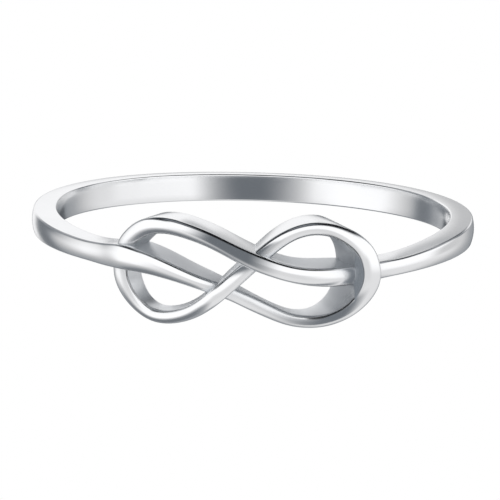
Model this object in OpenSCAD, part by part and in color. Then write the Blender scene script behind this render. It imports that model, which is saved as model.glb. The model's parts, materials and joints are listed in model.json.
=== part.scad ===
// Infinity ring: a plain polished band whose two ends cross into a flat figure-eight knot.
// The whole ring is one strand of silver. It is drawn flat, as a closed line with a width and a
// thickness at each point, and rolled round the finger hole, so its sides all point to the axis.

/* [Finger hole] */
// Diameter of the finger hole
bore_d = 17.3; // [15:0.1:21]

/* [Band] */
// Height of the band at the back of the ring
band_h = 1.42; // [1:0.02:2.2]
// Thickness of the band, from the finger hole to the edges of its outer face
band_t = 0.95; // [0.8:0.05:1.4]

/* [Knot] */
// Length of the knot, measured round the ring
knot_l = 10; // [8:0.1:13]
// Height of the knot
knot_h = 4; // [3.4:0.1:5]
// Width of the strand's outer face in the knot
strand_w = 0.54; // [0.4:0.02:0.6]
// Rise of the strand above the band where it rides highest over itself
ride_h = 1; // [0.7:0.05:1.2]

/* [Outer face] */
// Height of the dome between the two edges of the outer face
dome_h = 0.1; // [0.04:0.02:0.16]

/* [Hidden] */

// Longest step between two sections of the strand
step_l = 0.32;
// Flats across the dome of the outer face
dome_n = 4;
// Depth of the strand inside the finger hole, which the hole then cuts away
cut_t = 0.3;

bore_r = bore_d / 2;
// The strand is drawn flat at the radius of the band's outer edges
draw_r = bore_r + band_t;
half_turn = PI * draw_r;
knot_end = knot_l / 2;

// A row of the line is [along, up, wide, thick], all in millimetres
function along(q) = q[0];
function up(q) = q[1];
function wide(q) = q[2];
function thick(q) = q[3];

// The band's rows. Turn runs from the knot's end, 0, to the back of the ring, 1. Tall and lift are
// shares of band_h, and thick is a share of band_t.
// turn, tall, lift, thick
right_arm = [
    [0.010, 0.46, -0.14, 1.05],
    [0.045, 0.45, -0.13, 1.00],
    [0.085, 0.48, -0.09, 1.00]];
shank = [
    [0.20, 0.65, 0.03, 1.00],
    [0.40, 0.84, 0.08, 1.00],
    [0.70, 1.00, -0.02, 1.00]];
back = [[1.00, 1.00, -0.09, 1.00]];
left_arm = [
    [0.075, 0.53, -0.01, 1.00],
    [0.045, 0.56, 0.00, 1.02],
    [0.018, 0.60, 0.01, 1.10]];

// The knot's rows. Along is a share of half knot_l, up of half knot_h, wide of strand_w and rise
// of ride_h. Each table ends where its strand passes under another one.
// along, up, wide, rise
over_left_loop = [
    [-0.96, 0.05, 1.72, 0.28],
    [-0.82, 0.06, 1.66, 0.42],
    [-0.66, 0.01, 1.40, 0.42],
    [-0.50, -0.10, 1.12, 0.36],
    [-0.36, -0.21, 0.94, 0.32],
    [-0.22, -0.32, 0.88, 0.30]];
right_loop = [
    [-0.08, -0.49, 0.92, -0.15],
    [0.06, -0.68, 1.00, -0.42],
    [0.21, -0.84, 0.96, -0.40],
    [0.35, -0.97, 0.90, -0.25],
    [0.49, -1.00, 0.86, 0.00],
    [0.62, -0.92, 0.86, 0.42],
    [0.74, -0.70, 0.92, 0.85],
    [0.81, -0.39, 1.10, 1.20],
    [0.84, -0.07, 1.16, 1.40],
    [0.82, 0.24, 1.12, 1.40],
    [0.78, 0.49, 1.06, 1.30],
    [0.70, 0.68, 1.00, 1.08],
    [0.59, 0.80, 0.88, 0.75],
    [0.46, 0.80, 0.84, 0.48],
    [0.32, 0.68, 0.86, 0.38],
    [0.18, 0.41, 0.98, 0.30]];
left_loop = [
    [0.03, 0.02, 1.00, 0.35],
    [-0.08, -0.23, 1.00, 0.50],
    [-0.17, -0.46, 1.00, 0.58],
    [-0.26, -0.66, 1.00, 0.45],
    [-0.36, -0.85, 0.96, 0.20],
    [-0.52, -1.02, 0.92, -0.05],
    [-0.70, -1.07, 0.94, -0.25],
    [-0.84, -0.88, 1.00, -0.20],
    [-0.93, -0.58, 1.14, -0.05],
    [-0.97, -0.25, 1.22, 0.00]];
over_centre = [
    [-0.92, 0.21, 1.26, 0.05],
    [-0.85, 0.41, 1.26, 0.12],
    [-0.76, 0.60, 1.22, 0.20],
    [-0.65, 0.72, 1.14, 0.30],
    [-0.51, 0.74, 1.06, 0.38],
    [-0.37, 0.67, 1.02, 0.42],
    [-0.22, 0.56, 0.98, 0.50],
    [-0.08, 0.40, 0.98, 0.60],
    [0.05, 0.24, 1.08, 0.65],
    [0.19, 0.11, 1.08, 0.72],
    [0.32, 0.01, 1.08, 0.78],
    [0.45, -0.05, 1.16, 0.80],
    [0.59, -0.07, 1.26, 0.78],
    [0.75, -0.08, 1.28, 0.68]];

// A row of the band on the right of the knot
function right_row(q) = [
    knot_end + q[0] * (half_turn - knot_end),
    q[2] * band_h,
    q[1] * band_h,
    q[3] * band_t];
// A row of the band on the left of the knot
function left_row(q) = let (p = right_row(q)) [2 * half_turn - along(p), up(p), wide(p), thick(p)];
// A row of the knot
function knot_row(q) = [
    q[0] * knot_end + 2 * half_turn,
    q[1] * knot_h / 2,
    q[2] * strand_w,
    band_t + q[3] * ride_h];
function reversed(list) = [for (i = [len(list) - 1:-1:0]) list[i]];

// The four strands of the closed line, in order, each named for what it passes over
band_rows = concat(
    [for (q = right_arm) right_row(q)],
    [for (q = shank) right_row(q)],
    [for (q = back) right_row(q)],
    [for (q = reversed(shank)) left_row(q)],
    [for (q = left_arm) left_row(q)],
    [for (q = over_left_loop) knot_row(q)]);
right_rows = [for (q = right_loop) knot_row(q)];
left_rows = [for (q = left_loop) knot_row(q)];
centre_rows = [for (q = over_centre) knot_row(q)];
line = concat(band_rows, right_rows, left_rows, centre_rows);

// Row i of the closed line, which gains one whole turn each time round
function row(i) = let (n = len(line), k = floor(i / n))
    line[i - k * n] + [2 * half_turn * k, 0, 0, 0];
// Cubic B-spline that follows the rows, and its direction, at place u, where row i is u = i
function smooth_row(u) = let (i = floor(u), t = u - i)
    (pow(1 - t, 3) * row(i - 1)
        + (3 * pow(t, 3) - 6 * pow(t, 2) + 4) * row(i)
        + (-3 * pow(t, 3) + 3 * pow(t, 2) + 3 * t + 1) * row(i + 1)
        + pow(t, 3) * row(i + 2)) / 6;
function smooth_way(u) = let (i = floor(u), t = u - i)
    (-pow(1 - t, 2) * row(i - 1)
        + (3 * pow(t, 2) - 4 * t) * row(i)
        + (-3 * pow(t, 2) + 2 * t + 1) * row(i + 1)
        + pow(t, 2) * row(i + 2)) / 2;

// A point of the flat drawing, rolled round the finger at radius r
function rolled(way_round, height, r) = let (a = way_round / half_turn * 180)
    [r * sin(a), -r * cos(a), height];

// One section: down one side, across the domed outer face and down the other side
function section(u, inner_r) = let (
        q = smooth_row(u),
        d = smooth_way(u),
        way = [along(d), up(d)] / norm([along(d), up(d)]),
        half = wide(q) / 2)
    [for (j = [-1:dome_n + 1]) let (
            across = min(max(2 * j / dome_n - 1, -1), 1),
            crown = dome_h * (1 - across * across),
            r = (j < 0 || j > dome_n) ? inner_r : bore_r + thick(q) + crown)
        rolled(along(q) - way[1] * half * across, up(q) + way[0] * half * across, r)];

// Places of the sections between two rows, evenly spaced within each span
function places(from, to) = concat(
    [for (i = [floor(from):ceil(to) - 1])
        let (q = row(i + 1) - row(i), n = max(2, ceil(norm([along(q), up(q)]) / step_l)))
        for (k = [0:n - 1]) let (u = i + k / n) if (u > from && u < to) u]);

// Part of the strand as a solid, from one place to another, with flat ends
module strand(from, to) {
    us = concat([from], places(from, to), [to]);
    m = dome_n + 3;
    points = [for (u = us) each section(u, bore_r - cut_t)];
    sides = [for (i = [0:len(us) - 2], j = [0:m - 1])
        let (a = i * m + j, b = i * m + (j + 1) % m)
        each [[a, b, b + m], [a, b + m, a + m]]];
    first = [for (j = [1:m - 2]) [0, j + 1, j]];
    last = [for (j = [1:m - 2], o = (len(us) - 1) * m) [o, o + j, o + j + 1]];
    polyhedron(points = points, faces = concat(sides, first, last));
}

// The strand's four pieces, from place to place of the line. Each ends under the middle of the
// strand that covers it. The list gives that middle for each table's start, as a share of the
// step that leads to it.
under = [0.25, 0.5, 0.5, 0.6];
// Half the gap between two pieces that meet under a third, as a share of the same step
slit = 0.12;
starts = [
    0,
    len(band_rows),
    len(band_rows) + len(right_rows),
    len(band_rows) + len(right_rows) + len(left_rows),
    len(line)];
ends = [for (i = [0:3]) [starts[i] - 1 + under[i] + slit, starts[i + 1] - 1 + under[(i + 1) % 4] - slit]];

// At rest the ring stands on three feet: the bottom of the left loop, the bottom of the right
// loop and the back of the band. A pose is a tilt about X and then a roll about Y.
function edges(e) = [for (u = places(e[0], e[1])) each section(u, bore_r)];
function posed(p, pose) = let (y = p.y * cos(pose[0]) + p.z * sin(pose[0]),
        z = p.z * cos(pose[0]) - p.y * sin(pose[0]))
    [p.x * cos(pose[1]) + z * sin(pose[1]), y, z * cos(pose[1]) - p.x * sin(pose[1])];
// The point that is lowest in a pose
function foot(points, pose) = let (
        heights = [for (p = points) posed(p, pose).z],
        low = min(heights))
    [for (i = [0:len(points) - 1]) if (heights[i] == low) points[i]][0];
// The pose that puts three points on the floor
function pose_on(left, right, rear) = let (n = cross(right - left, rear - left))
    [atan2(-n.y, n.z), atan2(-n.x, norm([n.y, n.z]))];
// The feet move a little as the pose changes, so it is worked out in a few rounds
function settled(pose, rounds) = rounds == 0 ? pose
    : settled(pose_on(foot(left_edges, pose), foot(right_edges, pose), foot(rear_edges, pose)), rounds - 1);

left_edges = edges(ends[2]);
right_edges = edges(ends[1]);
rear_edges = [for (p = edges(ends[0])) if (p.y > 0) p];
rest = settled([0, 0], 6);
resting = [for (e = ends) each [for (p = edges(e)) posed(p, rest)]];

// Middle of the resting ring's box, at floor level
rest_middle = [
    (min([for (p = resting) p.x]) + max([for (p = resting) p.x])) / 2,
    (min([for (p = resting) p.y]) + max([for (p = resting) p.y])) / 2,
    min([for (p = resting) p.z])];

module infinity_ring() {
    color("silver")
    translate(-rest_middle)
    rotate([0, rest[1], 0])
    rotate([-rest[0], 0, 0])
    difference() {
        union() {
            for (e = ends) strand(e[0], e[1]);
        }
        translate([0, 0, -knot_h]) cylinder(r = bore_r, h = 2 * knot_h, $fn = 180);
    }
}

infinity_ring();
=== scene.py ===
# %% [markdown]
# # An infinity ring in polished silver
# The real ring is one strand of silver. It goes once round the finger as a plain band, and at the
# front its two ends cross over and under each other in a flat figure of eight. A jeweller casts it
# whole and polishes it bright. This lesson builds it the way a goldsmith might plan it: the strand
# is drawn flat on a strip of paper, given a width and a thickness at each point, and the strip is
# then rolled round the finger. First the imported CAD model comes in, because every piece has to
# stay in its frame.

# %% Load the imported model
import json
import math

import bpy
import numpy as np
from mathutils import Matrix, Vector

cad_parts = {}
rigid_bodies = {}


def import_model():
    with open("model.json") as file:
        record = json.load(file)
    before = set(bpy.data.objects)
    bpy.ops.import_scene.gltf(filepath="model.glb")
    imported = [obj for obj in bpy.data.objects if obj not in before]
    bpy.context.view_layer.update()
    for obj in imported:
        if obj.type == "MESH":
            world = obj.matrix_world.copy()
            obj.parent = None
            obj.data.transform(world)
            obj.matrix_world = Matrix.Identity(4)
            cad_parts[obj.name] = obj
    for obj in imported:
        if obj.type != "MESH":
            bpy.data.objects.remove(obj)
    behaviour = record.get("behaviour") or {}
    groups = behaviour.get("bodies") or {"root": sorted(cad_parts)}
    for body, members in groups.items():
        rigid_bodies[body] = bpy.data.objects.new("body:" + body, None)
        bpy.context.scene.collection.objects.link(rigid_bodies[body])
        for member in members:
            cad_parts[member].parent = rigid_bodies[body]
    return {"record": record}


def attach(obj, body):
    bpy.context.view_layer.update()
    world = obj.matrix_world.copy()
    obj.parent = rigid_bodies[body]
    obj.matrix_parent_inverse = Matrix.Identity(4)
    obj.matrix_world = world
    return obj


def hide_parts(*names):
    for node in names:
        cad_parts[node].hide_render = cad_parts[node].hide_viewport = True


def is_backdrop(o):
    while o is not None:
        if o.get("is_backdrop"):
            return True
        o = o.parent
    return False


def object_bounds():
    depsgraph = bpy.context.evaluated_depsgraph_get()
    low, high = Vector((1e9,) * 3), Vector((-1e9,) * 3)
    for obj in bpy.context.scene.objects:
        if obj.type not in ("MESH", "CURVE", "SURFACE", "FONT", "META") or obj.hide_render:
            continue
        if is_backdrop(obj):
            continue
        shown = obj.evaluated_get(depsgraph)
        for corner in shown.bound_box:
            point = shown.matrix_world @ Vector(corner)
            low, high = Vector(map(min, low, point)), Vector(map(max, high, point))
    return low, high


for leftover in list(bpy.data.objects):
    bpy.data.objects.remove(leftover)
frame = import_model()
cad_low, cad_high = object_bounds()
print("CAD box in mm:", [round(v * 1000, 2) for v in (*cad_low, *cad_high)])

# %% [markdown]
# The sizes are few, and each is written once. Blender works in metres, so `MM` turns the
# jeweller's millimetres into them. The drawing radius is where the strip keeps its true length:
# the radius of the band's outer edges.

# %% Name the sizes
MM = 0.001
BORE_R = 8.65 * MM
BAND_H = 1.42 * MM
BAND_T = 0.95 * MM
KNOT_L = 10.0 * MM
KNOT_H = 4.0 * MM
STRAND_W = 0.54 * MM
RIDE_H = 1.0 * MM
DOME_H = 0.094 * MM
DRAW_R = BORE_R + BAND_T
HALF_TURN = math.pi * DRAW_R
KNOT_END = KNOT_L / 2
print("outside diameter of the band in mm:", round(2 * (DRAW_R + DOME_H) / MM, 2))

# %% [markdown]
# The band is tallest at the back and tapers towards the knot. Its rows say how far round it is,
# from the knot's end, 0, to the back, 1, and give its height, its lift off the middle plane and its
# thickness as shares of the named sizes. The shank's rows serve both sides, and each arm has its
# own, because the left arm is a little stouter than the right one.

# %% Draw the band
# turn, tall, lift, thick
RIGHT_ARM = [
    [0.010, 0.46, -0.14, 1.05],
    [0.045, 0.45, -0.13, 1.00],
    [0.085, 0.48, -0.09, 1.00],
]
SHANK = [
    [0.20, 0.65, 0.03, 1.00],
    [0.40, 0.84, 0.08, 1.00],
    [0.70, 1.00, -0.02, 1.00],
]
BACK = [[1.00, 1.00, -0.09, 1.00]]
LEFT_ARM = [
    [0.075, 0.53, -0.01, 1.00],
    [0.045, 0.56, 0.00, 1.02],
    [0.018, 0.60, 0.01, 1.10],
]


def right_row(q):
    turn, tall, lift, thick = q
    return [KNOT_END + turn * (HALF_TURN - KNOT_END), lift * BAND_H, tall * BAND_H, thick * BAND_T]


def left_row(q):
    along, up, wide, thick = right_row(q)
    return [2 * HALF_TURN - along, up, wide, thick]


print("rows of the band:", len(RIGHT_ARM + SHANK + BACK + SHANK + LEFT_ARM))

# %% [markdown]
# The knot could be drawn with a formula for a figure of eight, but the real one is freer: the left
# loop is small and low, the right loop is wide, and its end stands proud of the band. So each
# stretch of strand has a short table of its own, and each table ends where the strand dives under
# another. `rise` says how far the strand's face stands above the band there.

# %% Draw the knot
# along, up, wide, rise
OVER_LEFT_LOOP = [
    [-0.96, 0.05, 1.72, 0.28],
    [-0.82, 0.06, 1.66, 0.42],
    [-0.66, 0.01, 1.40, 0.42],
    [-0.50, -0.10, 1.12, 0.36],
    [-0.36, -0.21, 0.94, 0.32],
    [-0.22, -0.32, 0.88, 0.30],
]
RIGHT_LOOP = [
    [-0.08, -0.49, 0.92, -0.15],
    [0.06, -0.68, 1.00, -0.42],
    [0.21, -0.84, 0.96, -0.40],
    [0.35, -0.97, 0.90, -0.25],
    [0.49, -1.00, 0.86, 0.00],
    [0.62, -0.92, 0.86, 0.42],
    [0.74, -0.70, 0.92, 0.85],
    [0.81, -0.39, 1.10, 1.20],
    [0.84, -0.07, 1.16, 1.40],
    [0.82, 0.24, 1.12, 1.40],
    [0.78, 0.49, 1.06, 1.30],
    [0.70, 0.68, 1.00, 1.08],
    [0.59, 0.80, 0.88, 0.75],
    [0.46, 0.80, 0.84, 0.48],
    [0.32, 0.68, 0.86, 0.38],
    [0.18, 0.41, 0.98, 0.30],
]
LEFT_LOOP = [
    [0.03, 0.02, 1.00, 0.35],
    [-0.08, -0.23, 1.00, 0.50],
    [-0.17, -0.46, 1.00, 0.58],
    [-0.26, -0.66, 1.00, 0.45],
    [-0.36, -0.85, 0.96, 0.20],
    [-0.52, -1.02, 0.92, -0.05],
    [-0.70, -1.07, 0.94, -0.25],
    [-0.84, -0.88, 1.00, -0.20],
    [-0.93, -0.58, 1.14, -0.05],
    [-0.97, -0.25, 1.22, 0.00],
]
OVER_CENTRE = [
    [-0.92, 0.21, 1.26, 0.05],
    [-0.85, 0.41, 1.26, 0.12],
    [-0.76, 0.60, 1.22, 0.20],
    [-0.65, 0.72, 1.14, 0.30],
    [-0.51, 0.74, 1.06, 0.38],
    [-0.37, 0.67, 1.02, 0.42],
    [-0.22, 0.56, 0.98, 0.50],
    [-0.08, 0.40, 0.98, 0.60],
    [0.05, 0.24, 1.08, 0.65],
    [0.19, 0.11, 1.08, 0.72],
    [0.32, 0.01, 1.08, 0.78],
    [0.45, -0.05, 1.16, 0.80],
    [0.59, -0.07, 1.26, 0.78],
    [0.75, -0.08, 1.28, 0.68],
]


def knot_row(q):
    along, up, wide, rise = q
    return [
        along * KNOT_END + 2 * HALF_TURN,
        up * KNOT_H / 2,
        wide * STRAND_W,
        BAND_T + rise * RIDE_H,
    ]


TABLES = [
    [right_row(q) for q in RIGHT_ARM + SHANK + BACK]
    + [left_row(q) for q in SHANK[::-1] + LEFT_ARM]
    + [knot_row(q) for q in OVER_LEFT_LOOP],
    [knot_row(q) for q in RIGHT_LOOP],
    [knot_row(q) for q in LEFT_LOOP],
    [knot_row(q) for q in OVER_CENTRE],
]
LINE = np.array([q for table in TABLES for q in table])
print("rows in each stretch of the strand:", [len(table) for table in TABLES])

# %% [markdown]
# A cubic B-spline turns the rows into one smooth closed line. It needs only the four nearest rows
# at any place, and the same weights work for position, width and thickness together. Once round
# the finger, the rows start again one whole turn further along.

# %% Smooth the line


def row(i):
    return LINE[i % len(LINE)] + [2 * HALF_TURN * (i // len(LINE)), 0, 0, 0]


def smooth_row(u):
    i, t = math.floor(u), u % 1
    weights = [(1 - t) ** 3, 3 * t**3 - 6 * t**2 + 4, -3 * t**3 + 3 * t**2 + 3 * t + 1, t**3]
    return sum(w * row(i - 1 + k) for k, w in enumerate(weights)) / 6


def smooth_way(u):
    i, t = math.floor(u), u % 1
    weights = [-((1 - t) ** 2), 3 * t**2 - 4 * t, -3 * t**2 + 2 * t + 1, t**2]
    d = sum(w * row(i - 1 + k) for k, w in enumerate(weights))[:2]
    return d / np.linalg.norm(d)


LAP_STEPS = 20
laps = [smooth_row(k / LAP_STEPS)[:2] for k in range(LAP_STEPS * len(LINE) + 1)]
length = sum(np.linalg.norm(b - a) for a, b in zip(laps, laps[1:]))
print("length of the whole strand in mm:", round(length / MM, 1))

# %% [markdown]
# The strand is cut into four pieces under the middle of each crossing, where the cuts can't be
# seen. Each piece becomes a row of points with its width, thickness and heading stored on them.
# The steps are short in the knot, where the line bends fast, and longer round the plain band. Just
# under a crossing the strand's underside is lifted by a hair, so that two undersides never lie in
# the same surface, which would confuse the union later.

# %% Lay out the four pieces
# Where each cut lies between two rows, and half the slit that it leaves, as shares of a row
UNDER = [0.25, 0.5, 0.5, 0.6]
SLIT = 0.12
# The two steps, and the gap between rows from which the longer one is used
KNOT_STEP = 0.08 * MM
BAND_STEP = 0.2 * MM
BAND_GAP = 2 * MM
# Least room between a section and the end of its piece, as a share of a row
END_ROOM = 0.02
# How far the underside is lifted at a cut, and how many rows the lift takes to fade
HAIR = 0.01 * MM
HAIR_ROWS = 1.2


def places(start, end):
    marks = [start]
    for i in range(math.floor(start), math.ceil(end)):
        gap = np.linalg.norm((row(i + 1) - row(i))[:2])
        n = math.ceil(gap / (BAND_STEP if gap > BAND_GAP else KNOT_STEP))
        between = [i + k / n for k in range(n)]
        marks += [u for u in between if start + END_ROOM < u < end - END_ROOM]
    return marks + [end]


def rails():
    points, edges, wide, thick, way, lift, strand = [], [], [], [], [], [], []
    first = 0
    for s, table in enumerate(TABLES):
        start = first - 1 + UNDER[s] + SLIT
        first += len(table)
        end = first - 1 + UNDER[(s + 1) % len(UNDER)] - SLIT
        marks = places(start, end)
        for k, u in enumerate(marks):
            along, up, w, t = smooth_row(u)
            if k:
                edges.append((len(points) - 1, len(points)))
            points.append((along, up, 0))
            wide.append(w)
            thick.append(t)
            way.append((*smooth_way(u), 0))
            lift.append(HAIR * max(0, 1 - min(u - start, end - u) / HAIR_ROWS))
            strand.append(s)
    mesh = bpy.data.meshes.new("rails")
    mesh.from_pydata(points, edges, [])
    for name, kind, values in (
        ("wide", "FLOAT", wide),
        ("thick", "FLOAT", thick),
        ("lift", "FLOAT", lift),
        ("strand", "INT", strand),
    ):
        mesh.attributes.new(name, kind, "POINT").data.foreach_set("value", values)
    for name, values in (("way", way), ("centre", points)):
        attribute = mesh.attributes.new(name, "FLOAT_VECTOR", "POINT")
        attribute.data.foreach_set("vector", np.ravel(values))
    return mesh


rail_mesh = rails()
print("sections along the strand:", len(rail_mesh.vertices))

# %% [markdown]
# The strand's cross-section has straight sides, a gently domed outer face and small round edges,
# which catch the light as a thin line on the real ring. It is stored as a loop of points with no
# size. `share` runs from -1 on one side to 1 on the other, `offset` and `drop` turn each corner
# as shares of the edge radius, and `top` tells the outer face from the inner one.

# %% Draw the cross-section
DOME_STEPS = 12
CORNER_STEPS = 6
INNER_SHARES = (0.5, 0, -0.5)


def section_loop():
    loop = []
    for k in range(DOME_STEPS + 1):
        loop.append((2 * k / DOME_STEPS - 1, 0, 0, 1))
    for k in range(1, CORNER_STEPS + 1):
        a = math.radians(90 * k / CORNER_STEPS)
        loop.append((1, math.sin(a), 1 - math.cos(a), 1))
    half = list(loop)
    loop += [(s, o, d, 0) for s, o, d, _ in reversed(half[DOME_STEPS:])]
    loop += [(s, 0, 0, 0) for s in INNER_SHARES]
    loop += [(-s, -o, d, 0) for s, o, d, _ in half[DOME_STEPS:]]
    loop += [(-s, -o, d, 1) for s, o, d, _ in reversed(half[DOME_STEPS + 1 :])]
    return loop[::-1]


def section_mesh():
    loop = section_loop()
    mesh = bpy.data.meshes.new("section")
    n = len(loop)
    angles = [2 * math.pi * k / n for k in range(n)]
    circle = [(math.cos(a) * MM, math.sin(a) * MM, 0) for a in angles]
    mesh.from_pydata(circle, [(k, (k + 1) % n) for k in range(n)], [])
    for name, values in zip(("share", "offset", "drop", "top"), zip(*loop)):
        mesh.attributes.new(name, "FLOAT", "POINT").data.foreach_set("value", values)
    return mesh


profile = bpy.data.objects.new("section", section_mesh())
print("points in the cross-section:", len(profile.data.vertices))

# %% [markdown]
# Now the strand is swept and rolled by Geometry Nodes. The sweep itself only lays out the faces:
# every point's real place comes from the stored numbers. Distance along the strip becomes an angle
# round the finger and depth becomes a radius, so all the side walls point at the middle of the
# finger hole, as they do on a ring that is cut from a tube. The four pieces are then joined with
# one union, and the ring is turned to the pose in which it comes to rest.

# %% Write small helpers for the node tree


def link(tree, value, socket):
    if isinstance(value, bpy.types.NodeSocket):
        tree.links.new(value, socket)
    else:
        socket.default_value = value


def maths(tree, operation, a, b=0.0):
    node = tree.nodes.new("ShaderNodeMath")
    node.operation = operation
    link(tree, a, node.inputs[0])
    link(tree, b, node.inputs[1])
    return node.outputs[0]


def stored(tree, name, kind="FLOAT"):
    node = tree.nodes.new("GeometryNodeInputNamedAttribute")
    node.data_type = kind
    node.inputs["Name"].default_value = name
    return node.outputs["Attribute"]


def parts_of(tree, vector):
    node = tree.nodes.new("ShaderNodeSeparateXYZ")
    link(tree, vector, node.inputs[0])
    return node.outputs


print("helpers:", [helper.__name__ for helper in (link, maths, stored, parts_of)])

# %% Sweep the section along the strand
INPUTS = [
    ("Section", "NodeSocketObject"),
    ("Finger hole radius", "NodeSocketFloat"),
    ("Drawing radius", "NodeSocketFloat"),
    ("Dome height", "NodeSocketFloat"),
    ("Edge radius", "NodeSocketFloat"),
    ("Rest turn", "NodeSocketRotation"),
    ("Rest move", "NodeSocketVector"),
    ("Material", "NodeSocketMaterial"),
]


def new_tree():
    tree = bpy.data.node_groups.new("rolled strand", "GeometryNodeTree")
    tree.interface.new_socket("Geometry", in_out="INPUT", socket_type="NodeSocketGeometry")
    for name, kind in INPUTS:
        tree.interface.new_socket(name, in_out="INPUT", socket_type=kind)
    tree.interface.new_socket("Geometry", in_out="OUTPUT", socket_type="NodeSocketGeometry")
    return tree, tree.nodes.new("NodeGroupInput").outputs


def swept(tree, given):
    drawn = tree.nodes.new("GeometryNodeObjectInfo")
    link(tree, given["Section"], drawn.inputs["Object"])
    curves = []
    for mesh in (given["Geometry"], drawn.outputs["Geometry"]):
        curve = tree.nodes.new("GeometryNodeMeshToCurve")
        link(tree, mesh, curve.inputs["Mesh"])
        curves.append(curve.outputs["Curve"])
    sweep = tree.nodes.new("GeometryNodeCurveToMesh")
    link(tree, curves[0], sweep.inputs["Curve"])
    link(tree, curves[1], sweep.inputs["Profile Curve"])
    sweep.inputs["Fill Caps"].default_value = True
    return sweep.outputs["Mesh"]


tree, given = new_tree()
sweep = swept(tree, given)
print("inputs of the tree:", [name for name, _ in INPUTS])

# %% Roll the swept strip round the finger


def rolled(tree, given, mesh):
    along, up, _ = parts_of(tree, stored(tree, "centre", "FLOAT_VECTOR"))
    way_x, way_y, _ = parts_of(tree, stored(tree, "way", "FLOAT_VECTOR"))
    top, drop = stored(tree, "top"), stored(tree, "drop")
    edge = given["Edge radius"]
    half = maths(tree, "MULTIPLY", stored(tree, "wide"), 0.5)
    flat = maths(tree, "MULTIPLY", stored(tree, "share"), maths(tree, "SUBTRACT", half, edge))
    across = maths(tree, "ADD", flat, maths(tree, "MULTIPLY", stored(tree, "offset"), edge))
    share = maths(tree, "ABSOLUTE", maths(tree, "DIVIDE", across, half))
    squared = maths(tree, "POWER", share, 2.0)
    crown = maths(tree, "MULTIPLY", given["Dome height"], maths(tree, "SUBTRACT", 1.0, squared))
    outer = maths(tree, "MULTIPLY", top, maths(tree, "ADD", stored(tree, "thick"), crown))
    inner = maths(tree, "MULTIPLY", maths(tree, "SUBTRACT", 1.0, top), stored(tree, "lift"))
    turned = maths(tree, "SUBTRACT", 1.0, maths(tree, "MULTIPLY", top, 2.0))
    corner = maths(tree, "MULTIPLY", maths(tree, "MULTIPLY", drop, edge), turned)
    depth = maths(tree, "ADD", maths(tree, "ADD", outer, inner), corner)
    radius = maths(tree, "ADD", given["Finger hole radius"], depth)
    x = maths(tree, "SUBTRACT", along, maths(tree, "MULTIPLY", way_y, across))
    angle = maths(tree, "DIVIDE", x, given["Drawing radius"])
    place = tree.nodes.new("ShaderNodeCombineXYZ")
    link(tree, maths(tree, "MULTIPLY", radius, maths(tree, "SINE", angle)), place.inputs[0])
    cosine = maths(tree, "MULTIPLY", radius, maths(tree, "COSINE", angle))
    link(tree, maths(tree, "MULTIPLY", cosine, -1.0), place.inputs[1])
    link(tree, maths(tree, "ADD", up, maths(tree, "MULTIPLY", way_x, across)), place.inputs[2])
    move = tree.nodes.new("GeometryNodeSetPosition")
    link(tree, mesh, move.inputs["Geometry"])
    link(tree, place.outputs[0], move.inputs["Position"])
    return move.outputs["Geometry"]


roll = rolled(tree, given, sweep)
print("nodes so far:", len(tree.nodes))

# %% Join the four pieces and end the tree


def joined(tree, mesh):
    union = tree.nodes.new("GeometryNodeMeshBoolean")
    union.operation = "UNION"
    union.solver = "MANIFOLD"
    for s in range(len(TABLES)):
        pick = tree.nodes.new("FunctionNodeCompare")
        pick.data_type = "INT"
        pick.operation = "EQUAL"
        link(tree, stored(tree, "strand", "INT"), pick.inputs[2])
        pick.inputs[3].default_value = s
        one = tree.nodes.new("GeometryNodeSeparateGeometry")
        link(tree, mesh, one.inputs["Geometry"])
        link(tree, pick.outputs["Result"], one.inputs["Selection"])
        link(tree, one.outputs["Selection"], union.inputs["Mesh 2"])
    return union.outputs["Mesh"]


def finished(tree, given, mesh):
    place = tree.nodes.new("GeometryNodeTransform")
    link(tree, mesh, place.inputs["Geometry"])
    link(tree, given["Rest turn"], place.inputs["Rotation"])
    link(tree, given["Rest move"], place.inputs["Translation"])
    real = tree.nodes.new("GeometryNodeRealizeInstances")
    link(tree, place.outputs["Geometry"], real.inputs["Geometry"])
    paint = tree.nodes.new("GeometryNodeSetMaterial")
    link(tree, real.outputs["Geometry"], paint.inputs["Geometry"])
    link(tree, given["Material"], paint.inputs["Material"])
    out = tree.nodes.new("NodeGroupOutput")
    link(tree, paint.outputs["Geometry"], out.inputs["Geometry"])


finished(tree, given, joined(tree, roll))
print("nodes in the tree:", len(tree.nodes))

# %% [markdown]
# Silver is nearly white, and a polished ring is mostly a mirror, so its look comes from how clear
# that mirror is. Real polish is never perfect: the wheel leaves very fine lines, the hand leaves
# soft waves, and some patches are a little duller than others. Three noises on Object coordinates
# give these, each at its real size, and they are kept weak so that the ring still looks new. The
# wheel doesn't reach the deep corners of the knot, so the silver is more satin there, and shade is
# painted into its colour there. Ambient occlusion finds those corners: it measures how much of the
# ring lies close round a point.

# %% Name the finish of the silver and its painted corner shade
# The clean silver, and the darker colour painted into the corners as shade
CLEAN = (0.93, 0.935, 0.94, 1)
CORNER_SHADE_COLOUR = (0.74, 0.76, 0.78, 1)
# Roughness of the polish, from its clearest patches to its dullest, and of the corners
CLEAREST = 0.14
DULLEST = 0.20
SATIN = 0.38
PATCH_SIZE = 1.5 * MM
PATCH_DETAIL = 3
# How near silver must be for a corner to get painted shade, and the two openness values that bound
# the fade
CORNER_REACH = 2.5 * MM
CORNER_SHUT = 0.4
CORNER_OPEN = 0.95
# A noise seldom leaves this range
NOISE_LOW = 0.3
NOISE_HIGH = 0.7
# size, depth, strength, detail
HAND_WAVES = [1.0 * MM, 0.002 * MM, 0.5, 1]
WHEEL_LINES = [0.03 * MM, 0.0002 * MM, 0.4, 2]
print("roughness of the polish and of the corners:", CLEAREST, DULLEST, SATIN)

# %% Mix the polished silver


def noise(nodes, links, place, size, detail):
    texture = nodes.new("ShaderNodeTexNoise")
    texture.inputs["Scale"].default_value = 1 / size
    texture.inputs["Detail"].default_value = detail
    links.new(place, texture.inputs["Vector"])
    return texture.outputs["Fac"]


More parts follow.
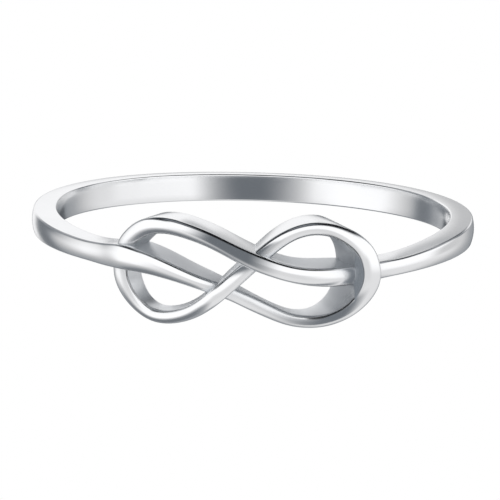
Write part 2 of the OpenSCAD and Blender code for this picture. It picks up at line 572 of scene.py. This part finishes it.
def spread(nodes, links, value, least, most, low=0.0, high=1.0):
    span = nodes.new("ShaderNodeMapRange")
    span.inputs["From Min"].default_value = least
    span.inputs["From Max"].default_value = most
    span.inputs["To Min"].default_value = low
    span.inputs["To Max"].default_value = high
    links.new(value, span.inputs["Value"])
    return span.outputs["Result"]


def relief(nodes, links, place, size, depth, strength, detail):
    bump = nodes.new("ShaderNodeBump")
    bump.inputs["Distance"].default_value = depth
    bump.inputs["Strength"].default_value = strength
    links.new(noise(nodes, links, place, size, detail), bump.inputs["Height"])
    return bump


def polished_silver():
    material = bpy.data.materials.new("polished_silver")
    material.use_nodes = True
    nodes, links = material.node_tree.nodes, material.node_tree.links
    shader = nodes["Principled BSDF"]
    shader.inputs["Metallic"].default_value = 1.0
    shade = nodes.new("ShaderNodeAmbientOcclusion")
    shade.only_local = True
    shade.inputs["Distance"].default_value = CORNER_REACH
    bare = spread(nodes, links, shade.outputs["AO"], CORNER_SHUT, CORNER_OPEN)
    # Painted shade: the base colour darkens towards the darker corner colour where the ring closes
    # round a point
    colour = nodes.new("ShaderNodeMix")
    colour.data_type = "RGBA"
    colour.inputs["A"].default_value = CORNER_SHADE_COLOUR
    colour.inputs["B"].default_value = CLEAN
    links.new(bare, colour.inputs["Factor"])
    links.new(colour.outputs["Result"], shader.inputs["Base Color"])
    place = nodes.new("ShaderNodeTexCoord").outputs["Object"]
    patches = noise(nodes, links, place, PATCH_SIZE, PATCH_DETAIL)
    polish = spread(nodes, links, patches, NOISE_LOW, NOISE_HIGH, CLEAREST, DULLEST)
    rough = nodes.new("ShaderNodeMix")
    rough.inputs["A"].default_value = SATIN
    links.new(polish, rough.inputs["B"])
    links.new(bare, rough.inputs["Factor"])
    links.new(rough.outputs["Result"], shader.inputs["Roughness"])
    waves = relief(nodes, links, place, *HAND_WAVES)
    lines = relief(nodes, links, place, *WHEEL_LINES)
    links.new(waves.outputs["Normal"], lines.inputs["Normal"])
    links.new(lines.outputs["Normal"], shader.inputs["Normal"])
    return material


silver = polished_silver()
print("nodes in the silver:", len(silver.node_tree.nodes))

# %% [markdown]
# The strand's points are now turned into the ring. A ring put down on a table leans on the bottoms
# of its loops and on the back of its band, so it is tilted and rolled a little until all three
# touch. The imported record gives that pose: where the middle of the finger hole is, and how it
# leans. The result is made a plain mesh, because the export wants no live node tree, and edges
# sharper than 35 degrees stay crisp where one strand passes over another.

# %% Make the ring
EDGE_R = 0.08 * MM
CRISP = math.radians(35)
bore = frame["record"]["mounts"][0]
rest_move = Vector(bore["pos_m"])
lean_x, lean_y, lean_z = bore["axis"]
rest_tilt = Matrix.Rotation(-math.asin(lean_y), 3, "X")
rest_roll = Matrix.Rotation(math.atan2(lean_x, lean_z), 3, "Y")
rest_turn = rest_roll @ rest_tilt

ring_inputs = {
    "Section": profile,
    "Finger hole radius": BORE_R,
    "Drawing radius": DRAW_R,
    "Dome height": DOME_H,
    "Edge radius": EDGE_R,
    "Rest turn": rest_turn.to_euler(),
    "Rest move": rest_move,
    "Material": silver,
}


def grown(name):
    strand = bpy.data.objects.new(name, rail_mesh)
    for o in (strand, profile):
        bpy.context.scene.collection.objects.link(o)
    modifier = strand.modifiers.new("roll", "NODES")
    modifier.node_group = tree
    for item in tree.interface.items_tree:
        if item.in_out == "INPUT" and item.name in ring_inputs:
            modifier[item.identifier] = ring_inputs[item.name]
    seen = bpy.context.evaluated_depsgraph_get()
    mesh = bpy.data.meshes.new_from_object(strand.evaluated_get(seen), depsgraph=seen)
    strand.modifiers.clear()
    strand.data = mesh
    bpy.data.objects.remove(profile)
    return strand


ring = grown("ring_strand")
for spare in ("wide", "thick", "lift", "share", "offset", "drop", "top", "strand", "way", "centre"):
    ring.data.attributes.remove(ring.data.attributes[spare])
ring.data.shade_smooth()
ring.data.set_sharp_from_angle(angle=CRISP)
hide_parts("infinity_ring")
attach(ring, "root")
print("faces in the ring:", len(ring.data.polygons))

# %% [markdown]
# The photograph was taken from close by, about 45 mm from the middle of the ring, which is why the
# knot looks so large beside the back of the band. The camera stands in front of the knot, a little
# above it, and leans with the ring by a degree or two.

# %% Set the camera
VIEW_DISTANCE = 45 * MM
VIEW_RISE = math.radians(11.1)
VIEW_SIDE = math.radians(2)
VIEW_LEAN = math.radians(1.5)
FRAME_PX = 500
FOCAL_PX = 1002
RING_AT_PX = (253.0, 217.5)
SENSOR_MM = 36
NEAREST = 1 * MM
FARTHEST = 10


def photo_camera():
    data = bpy.data.cameras.new("camera")
    data.sensor_width = SENSOR_MM
    data.lens = SENSOR_MM * FOCAL_PX / FRAME_PX
    data.clip_start = NEAREST
    data.clip_end = FARTHEST
    camera = bpy.data.objects.new("camera", data)
    bpy.context.scene.collection.objects.link(camera)
    ahead = Vector((0, math.cos(VIEW_RISE), -math.sin(VIEW_RISE)))
    right, up = Vector((1, 0, 0)), Vector((0, math.sin(VIEW_RISE), math.cos(VIEW_RISE)))
    place = -VIEW_DISTANCE * ahead
    across = right * math.cos(VIEW_LEAN) + up * math.sin(VIEW_LEAN)
    upward = up * math.cos(VIEW_LEAN) - right * math.sin(VIEW_LEAN)
    pan = math.atan2(RING_AT_PX[0] - FRAME_PX / 2, FOCAL_PX)
    across, ahead = (
        across * math.cos(pan) + ahead * math.sin(pan),
        ahead * math.cos(pan) - across * math.sin(pan),
    )
    nod = math.atan2(RING_AT_PX[1] - FRAME_PX / 2, FOCAL_PX)
    upward, ahead = (
        upward * math.cos(nod) - ahead * math.sin(nod),
        ahead * math.cos(nod) + upward * math.sin(nod),
    )
    turn = rest_turn @ Matrix.Rotation(VIEW_SIDE, 3, "Z")
    axes = [turn @ v for v in (across, upward, -ahead)]
    matrix = Matrix(axes).transposed().to_4x4()
    matrix.translation = turn @ place + rest_move
    camera.matrix_world = matrix
    return camera


camera = photo_camera()
bpy.context.scene.camera = camera
print("camera height in mm:", round(camera.location.z / MM, 1))

# %% [markdown]
# A mirror shows what stands round it, so lighting polished silver means building a room for it to
# reflect. The world here is that room. One wide soft box fills the front, and dimmer cards below it
# give the lower half of each curve its grey. Dark strips stand at both sides, where the shoulders
# of the band look, and strips of light stand behind. Everything overhead is nearly black, which
# draws the thin dark line along each upper edge. Each row of the table is one card, laid over the
# ones before it. Its edges are angles in degrees: round the ring, from the camera's side, 0, to the
# right, 90, and above or below the horizon. `blur` is how many degrees its two sides take to fade,
# and `fade` is the same for its lower edge. Its upper edge fades as its sides do, or over 12
# degrees where they take longer.

# %% List the cards of the studio
# from_side, to_side, from_rise, to_rise, brightness, blur, fade
CARDS = [
    # The soft box in front and the dimmer cards below it
    [-106, 130, -20, 48, 1.10, 48, 40],
    [-28, 112, -78, -16, 0.80, 36, 24],
    [-36, 32, -30, 3, 0.74, 24, 16],
    [-90, -48, -20, 0, 1.10, 16, 8],
    [-92, -50, -62, -34, 0.20, 16, 10],
    [-142, -116, -62, -42, 0.14, 12, 8],
    # The dark strips at the two sides
    [102, 130, -12, 6, 0.62, 14, 8],
    [-138, -118, -34, 40, 0.20, 14, 20],
    [-144, -120, 10, 40, 0.30, 10, 6],
    [128, 141, 4, 40, 0.20, 10, 6],
    [106, 141, 24, 40, 0.42, 12, 10],
    # The strips of light behind
    [142, 180, 0, 15, 0.95, 12, 12],
    [165, 180, 5, 36, 0.95, 10, 10],
    [160, 172, 1, 16, 0.55, 5, 6],
    [160, 179, 15, 24, 0.45, 5, 4],
    [-180, -141, 0, 16, 1.00, 16, 12],
    [-180, -151, 8, 28, 1.00, 14, 8],
    [-157, -141, -22, 8, 1.00, 12, 14],
    # Low dark cards behind, which grazing light brings to the outlines
    [-180, -160, -26, -4, 0.10, 8, 8],
    [160, 180, -26, -4, 0.10, 8, 8],
    # The dark ring above them, with a dim card on each side
    [92, 180, 38, 62, 0.05, 14, 10],
    [146, 180, 34, 50, 0.80, 12, 8],
    [-180, -50, 34, 62, 0.05, 14, 10],
    [-156, -124, 29, 44, 0.45, 12, 8],
    # The black ceiling, its dim left half and the grey floor
    [-180, 180, 55, 90, 0.012, 8, 8],
    [-160, -15, 62, 84, 0.20, 14, 8],
    [-180, 180, -90, -78, 0.42, 14, 14],
]
print("cards in the studio:", len(CARDS))

# %% Build the studio in the world
# Brightness of the bare room above and below the horizon
ROOM_ABOVE = 0.05
ROOM_BELOW = 0.34
HORIZON_BLUR = 10
UPPER_BLUR = 12
# The ends of the two angles, where a card that reaches them has no edge
SIDE_ENDS = (-180, 180)
RISE_ENDS = (-90, 90)
# Tints of the bright and the dim cards, and the brightness at which one becomes the other
WHITE = (0.99, 0.99, 1.0, 1)
SHADE = (0.84, 0.92, 1.02, 1)
TINT_EDGE = 0.35
TINT_BLUR = 0.6


def step(tree, value, edge, blur):
    ramp = tree.nodes.new("ShaderNodeMapRange")
    ramp.interpolation_type = "SMOOTHSTEP"
    ramp.inputs["From Min"].default_value = edge - blur / 2
    ramp.inputs["From Max"].default_value = edge + blur / 2
    link(tree, value, ramp.inputs["Value"])
    return ramp.outputs["Result"]


def within(tree, value, low, high, fade, blur, ends):
    after = 1.0 if low <= ends[0] else step(tree, value, low, fade)
    past = 0.0 if high >= ends[1] else step(tree, value, high, blur)
    return maths(tree, "SUBTRACT", after, past)


def blend(tree, under, over, share):
    change = maths(tree, "MULTIPLY", maths(tree, "SUBTRACT", over, under), share)
    return maths(tree, "ADD", under, change)


def studio():
    world = bpy.data.worlds.new("studio")
    world.use_nodes = True
    tree = world.node_tree
    x, y, z = parts_of(tree, tree.nodes.new("ShaderNodeTexCoord").outputs["Generated"])
    round_it = maths(tree, "ARCTAN2", x, maths(tree, "MULTIPLY", y, -1.0))
    side = maths(tree, "DEGREES", round_it)
    rise = maths(tree, "DEGREES", maths(tree, "ARCSINE", z))
    light = blend(tree, ROOM_BELOW, ROOM_ABOVE, step(tree, rise, 0, HORIZON_BLUR))
    for left, right, low, high, brightness, blur, fade in CARDS:
        across = within(tree, side, left, right, blur, blur, SIDE_ENDS)
        upright = within(tree, rise, low, high, fade, min(blur, UPPER_BLUR), RISE_ENDS)
        light = blend(tree, light, brightness, maths(tree, "MULTIPLY", across, upright))
    tint = tree.nodes.new("ShaderNodeMix")
    tint.data_type = "RGBA"
    link(tree, step(tree, light, TINT_EDGE, TINT_BLUR), tint.inputs["Factor"])
    tint.inputs["A"].default_value = SHADE
    tint.inputs["B"].default_value = WHITE
    link(tree, tint.outputs["Result"], tree.nodes["Background"].inputs["Color"])
    link(tree, light, tree.nodes["Background"].inputs["Strength"])
    return world


bpy.context.scene.world = studio()
bpy.context.scene.world.cycles.sampling_method = "NONE"
print("nodes in the studio:", len(bpy.context.scene.world.node_tree.nodes))

# %% [markdown]
# A product photographer also hangs small black flags close to a mirror, where they darken one
# place and not the rest. Here there are seven. One hangs in front of the middle of the knot and
# one before the foot of the right loop. Three small ones stand in the loops' openings, where they
# darken the loops' inner edges and the wall at the right end. Two hang inside the finger hole,
# before the back of the band and its right end. Only reflections see them, and only from their
# black side, and they fade out towards their rims. Some cut through the silver or reach a little
# below the table, which does no harm, because they are never seen directly.

# %% Hang the flags
# x, y, z, half width, half height in mm, lean and turn in degrees, brightness, solid share
FLAGS = {
    "knot_flag": [-0.5, -10.28, 3.5, 2.3, 0.95, 22, 0, 0.18, 0.35],
    "back_flag": [-0.4, 7.9, 0.7, 3.1, 1.2, 0, 0, 0.18, 0.10],
    "side_flag": [7.4, 3.1, 0.9, 1.4, 1.4, 0, -90, 0.22, 0.20],
    "foot_flag": [2.9, -10.3, 0.1, 2.4, 1.4, 0, 0, 0.20, 0.20],
    "edge_flag": [2.2, -10.1, 1.35, 1.0, 0.9, 0, -90, 0.02, 0.60],
    "wall_flag": [4.0, -9.45, 2.0, 0.6, 1.15, 0, -90, 0.26, 0.20],
    "left_flag": [-3.3, -9.5, 1.1, 0.9, 0.9, 0, 90, 0.02, 0.50],
}
# Where the upper and lower rims fade, and over what width, as shares of the half height
RIM_EDGE = 0.75
RIM_BLUR = 0.4


def flag_paint(name, brightness, solid):
    paint = bpy.data.materials.new(name)
    paint.use_nodes = True
    tree = paint.node_tree
    tree.nodes.remove(tree.nodes["Principled BSDF"])
    out = tree.nodes["Material Output"]
    x, y, z = parts_of(tree, tree.nodes.new("ShaderNodeTexCoord").outputs["Object"])
    across = step(tree, maths(tree, "ABSOLUTE", x), (1 + solid) / 2, 1 - solid)
    upright = step(tree, maths(tree, "ABSOLUTE", z), RIM_EDGE, RIM_BLUR)
    uncovered = [maths(tree, "SUBTRACT", 1.0, share) for share in (across, upright)]
    behind = tree.nodes.new("ShaderNodeNewGeometry").outputs["Backfacing"]
    cover = maths(tree, "MULTIPLY", maths(tree, "MULTIPLY", *uncovered), behind)
    cloth = tree.nodes.new("ShaderNodeEmission")
    cloth.inputs["Color"].default_value = SHADE
    cloth.inputs["Strength"].default_value = brightness
    mix = tree.nodes.new("ShaderNodeMixShader")
    link(tree, cover, mix.inputs[0])
    link(tree, tree.nodes.new("ShaderNodeBsdfTransparent").outputs[0], mix.inputs[1])
    link(tree, cloth.outputs[0], mix.inputs[2])
    link(tree, mix.outputs[0], out.inputs["Surface"])
    return paint


def hang(name, x, y, z, wide, high, lean, turn, brightness, solid):
    mesh = bpy.data.meshes.new(name)
    mesh.from_pydata([(-1, 0, -1), (1, 0, -1), (1, 0, 1), (-1, 0, 1)], [], [(0, 1, 2, 3)])
    mesh.materials.append(flag_paint(name, brightness, solid))
    flag = bpy.data.objects.new(name, mesh)
    flag.location = (x * MM, y * MM, z * MM)
    flag.rotation_euler = (0, math.radians(lean), math.radians(turn))
    flag.scale = (wide * MM, 1, high * MM)
    flag.visible_camera = False
    flag.visible_diffuse = False
    flag.visible_shadow = False
    bpy.context.scene.collection.objects.link(flag)
    flag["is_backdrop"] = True


for name, sizes in FLAGS.items():
    hang(name, *sizes)
print("flags:", list(FLAGS))

# %% [markdown]
# The ring lies in a light tent: a table of white acrylic that glows from below, and a round wall of
# white cloth behind it. So the ring stands against pure white from every side, and no shadow falls
# on the table, as in the photograph. The silver shows neither of them, so both are left out of
# reflections, and it mirrors only the studio's cards.

# %% Lay the glowing table and hang the cloth
TENT_R = 1000 * MM
WALL_STEPS = 64
glow = bpy.data.materials.new("glowing_white")
glow.use_nodes = True
shader = glow.node_tree.nodes["Principled BSDF"]
shader.inputs["Base Color"].default_value = (0.0, 0.0, 0.0, 1)
shader.inputs["Specular IOR Level"].default_value = 0.0
shader.inputs["Emission Color"].default_value = (1.0, 1.0, 1.0, 1)
shader.inputs["Emission Strength"].default_value = 1.0


def glowing(name, points, faces):
    mesh = bpy.data.meshes.new(name)
    mesh.from_pydata(points, [], faces)
    mesh.materials.append(glow)
    sheet = bpy.data.objects.new(name, mesh)
    bpy.context.scene.collection.objects.link(sheet)
    sheet.visible_glossy = False
    sheet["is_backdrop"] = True
    return sheet


turns = [2 * math.pi * k / WALL_STEPS for k in range(WALL_STEPS)]
rim = [(TENT_R * math.cos(a), TENT_R * math.sin(a), 0) for a in turns]
table = glowing("floor", rim, [tuple(range(WALL_STEPS))])
upper = [(x, y, TENT_R) for x, y, _ in rim]
follows = [(k, (k + 1) % WALL_STEPS) for k in range(WALL_STEPS)]
panels = [(k, k + WALL_STEPS, n + WALL_STEPS, n) for k, n in follows]
cloth = glowing("backdrop", rim + upper, panels)
bpy.context.scene.view_settings.view_transform = "Standard"
print("table and cloth, faces:", len(table.data.polygons), len(cloth.data.polygons))

# %% [markdown]
# Last, the box of the finished ring is measured, kept with the box of the CAD model and printed.
# The looks may not change the size.

# %% Measure the ring's box
low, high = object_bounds()
sizes = {"cad": [list(cad_low), list(cad_high)], "visual": [list(low), list(high)]}
print("visual box in mm:", [round(v * 1000, 2) for v in (*low, *high)])
